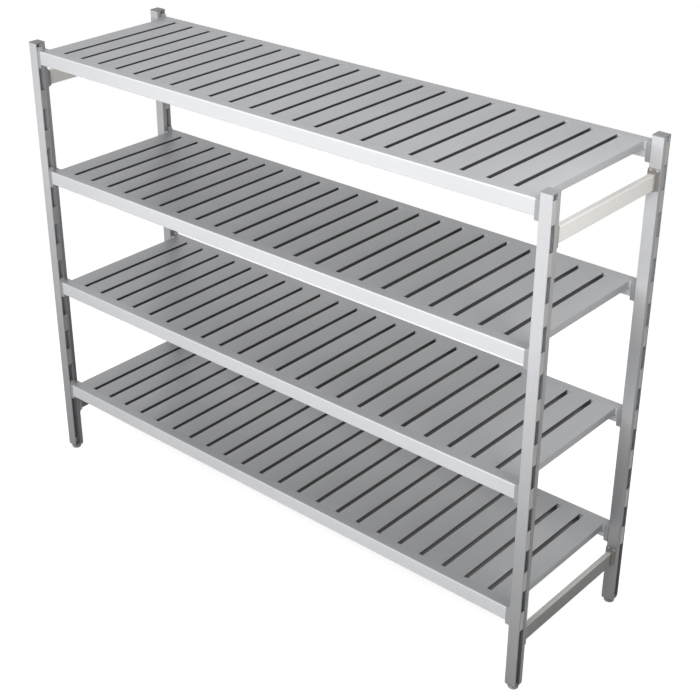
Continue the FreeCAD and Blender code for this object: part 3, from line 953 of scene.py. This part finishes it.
class SHELVING_OT_stage(bpy.types.Operator):
    """Lay the pale floor, light it softly and stand the camera where the photo was taken"""

    bl_idname = "shelving.stage"
    bl_label = "Stage"

    def execute(self, context):
        settings = context.scene.shelving_stage
        self.lay_floor(settings)
        self.light_world(context.scene, settings)
        self.hang_lamps(settings)
        self.stand_camera(context.scene)
        context.scene.view_settings.view_transform = "Standard"
        return {"FINISHED"}

    def lay_floor(self, settings):
        """A wide pale floor that keeps the unit's shadow."""
        mesh = bpy.data.meshes.new("floor")
        reach = 60
        corners = [(-reach, -reach, 0), (reach, -reach, 0), (reach, reach, 0), (-reach, reach, 0)]
        mesh.from_pydata(corners, [], [(0, 1, 2, 3)])
        floor = bpy.data.objects.new("floor", mesh)
        bpy.context.scene.collection.objects.link(floor)
        material, tree, surface, place = start_material("Painted studio floor", settings.floor, 0.0, 0.9)
        surface.inputs["Specular IOR Level"].default_value = 0.0  # matt paint, with no streak of the lamps
        cloud = pattern(tree, place, (900, 900, 900), 2)
        tone = remap(tree, cloud, 0.3, 0.7, 0.985, 1.0)
        dress(tree, surface, settings.floor, tone, None)
        surface.inputs["Emission Color"].default_value = linear("#ffffff")
        missing = calculate(tree, "MULTIPLY", self.seen(tree), settings.floor_glow)
        tree.links.new(missing, surface.inputs["Emission Strength"])
        mesh.materials.append(material)

    def seen(self, tree):
        """One for the rays that see the backdrop: straight, mirrored or through glass."""
        ray = add_node(tree, "ShaderNodeLightPath").outputs
        straight = calculate(tree, "MAXIMUM", ray["Is Camera Ray"], ray["Is Glossy Ray"])
        return calculate(tree, "MAXIMUM", straight, ray["Is Transmission Ray"])

    def light_world(self, scene, settings):
        """A white surround as seen and reflected, and a soft light from all round."""
        world = bpy.data.worlds.new("Studio")
        scene.world = world
        world.use_nodes = True
        tree = world.node_tree
        tree.nodes.clear()
        way = add_node(tree, "ShaderNodeTexCoord").outputs["Generated"]
        facing = add_node(
            tree,
            "ShaderNodeVectorMath",
            {"operation": "DOT_PRODUCT", 1: (-0.45, -0.6, 0.66)},
            {0: way},
        ).outputs["Value"]
        level = remap(tree, facing, -0.6, 1.0, settings.ambient * 0.3, settings.ambient)
        soft = add_node(
            tree,
            "ShaderNodeBackground",
            {"Color": linear("#fbfcff")},
            {"Strength": level},
        )
        white = add_node(tree, "ShaderNodeBackground", {"Color": linear("#ffffff"), "Strength": 1.0})
        mixed = add_node(
            tree,
            "ShaderNodeMixShader",
            links={0: self.seen(tree), 1: soft.outputs[0], 2: white.outputs[0]},
        )
        add_node(tree, "ShaderNodeOutputWorld", links={"Surface": mixed.outputs[0]})

    def hang_lamps(self, settings):
        """Soft lamps in front of the top tier, overhead, by the right end and a weak one behind.

        The front and back lamps don't mirror in the tiers, whose tops they would wash out at a glance.
        """
        lamps = (
            # power, where it hangs, what it lights, its width and height, and whether it mirrors
            ("front_lamp", settings.front, (0.2, -1.7, 1.82), (0.2, -0.3, 1.25), 3.0, 0.4, False),
            ("top_lamp", settings.top, (-0.1, -0.1, 3.3), (-0.1, 0, 1.6), 2.6, 0.8, True),
            ("end_lamp", settings.end, (1.75, -0.35, 2.1), (1.0, 0, 0.4), 0.6, 0.9, True),
            ("back_lamp", settings.back, (-0.2, 1.9, 1.7), (-0.2, 0.3, 1.0), 3.0, 0.5, False),
        )
        for name, power, spot, target, wide, high, mirrors in lamps:
            lamp = bpy.data.lights.new(name, "AREA")
            lamp.energy = power
            lamp.shape = "RECTANGLE"
            lamp.size, lamp.size_y = wide, high
            hung = bpy.data.objects.new(name, lamp)
            bpy.context.scene.collection.objects.link(hung)
            hung.location = spot
            hung.rotation_mode = "QUATERNION"
            hung.rotation_quaternion = (Vector(target) - hung.location).to_track_quat("-Z", "Y")
            hung.visible_camera = False
            hung.visible_glossy = mirrors

    def stand_camera(self, scene):
        """A camera that frames the unit much as the photo does, with a shift that suits other views."""
        camera = bpy.data.cameras.new("camera")
        camera.sensor_width = 36
        camera.lens = 71.74
        camera.shift_x, camera.shift_y = 0.058, -0.040
        camera.clip_end = 200
        place = (2.876, -3.221, 3.050)
        angles = (62.68, 0.44, 41.98)  # tilt, roll and turn in degrees
        stood = bpy.data.objects.new("camera", camera)
        scene.collection.objects.link(stood)
        stood.location = place
        stood.rotation_euler = [math.radians(angle) for angle in angles]
        scene.camera = stood


class SHELVING_PT_panel(bpy.types.Panel):
    """Sidebar panel with the unit's pieces and settings"""

    bl_label = "Cold room shelving"
    bl_idname = "SHELVING_PT_panel"
    bl_space_type = "VIEW_3D"
    bl_region_type = "UI"
    bl_category = "Shelving"

    def draw(self, context):
        layout = self.layout
        for operator in OPERATORS:
            layout.operator(operator.bl_idname)
        for name, group in SETTINGS.items():
            box = layout.box()
            for item in group.__annotations__:
                box.prop(getattr(context.scene, name), item)


SETTINGS = {
    "shelving_colours": ShelvingColours,
    "shelving_slats": ShelvingSlats,
    "shelving_screws": ShelvingScrews,
    "shelving_feet": ShelvingFeet,
    "shelving_stage": ShelvingStage,
}
OPERATORS = (
    SHELVING_OT_posts,
    SHELVING_OT_rack_strips,
    SHELVING_OT_caps_and_blocks,
    SHELVING_OT_crossbars,
    SHELVING_OT_rails,
    SHELVING_OT_connectors,
    SHELVING_OT_slats,
    SHELVING_OT_bracket_screws,
    SHELVING_OT_levelling_feet,
    SHELVING_OT_stage,
)


def register():
    """Register the settings, operators and panel."""
    for item in (*SETTINGS.values(), *OPERATORS, SHELVING_PT_panel):
        bpy.utils.register_class(item)
    for name, group in SETTINGS.items():
        setattr(bpy.types.Scene, name, PointerProperty(type=group))


def unregister():
    """Take the panel, operators and settings away again."""
    for name in SETTINGS:
        delattr(bpy.types.Scene, name)
    for item in (SHELVING_PT_panel, *reversed(OPERATORS), *reversed(SETTINGS.values())):
        bpy.utils.unregister_class(item)


def main():
    """Build everything in order."""
    register()
    for operator in OPERATORS:
        group, name = operator.bl_idname.split(".")
        getattr(getattr(bpy.ops, group), name)()


if __name__ == "__main__":
    main()
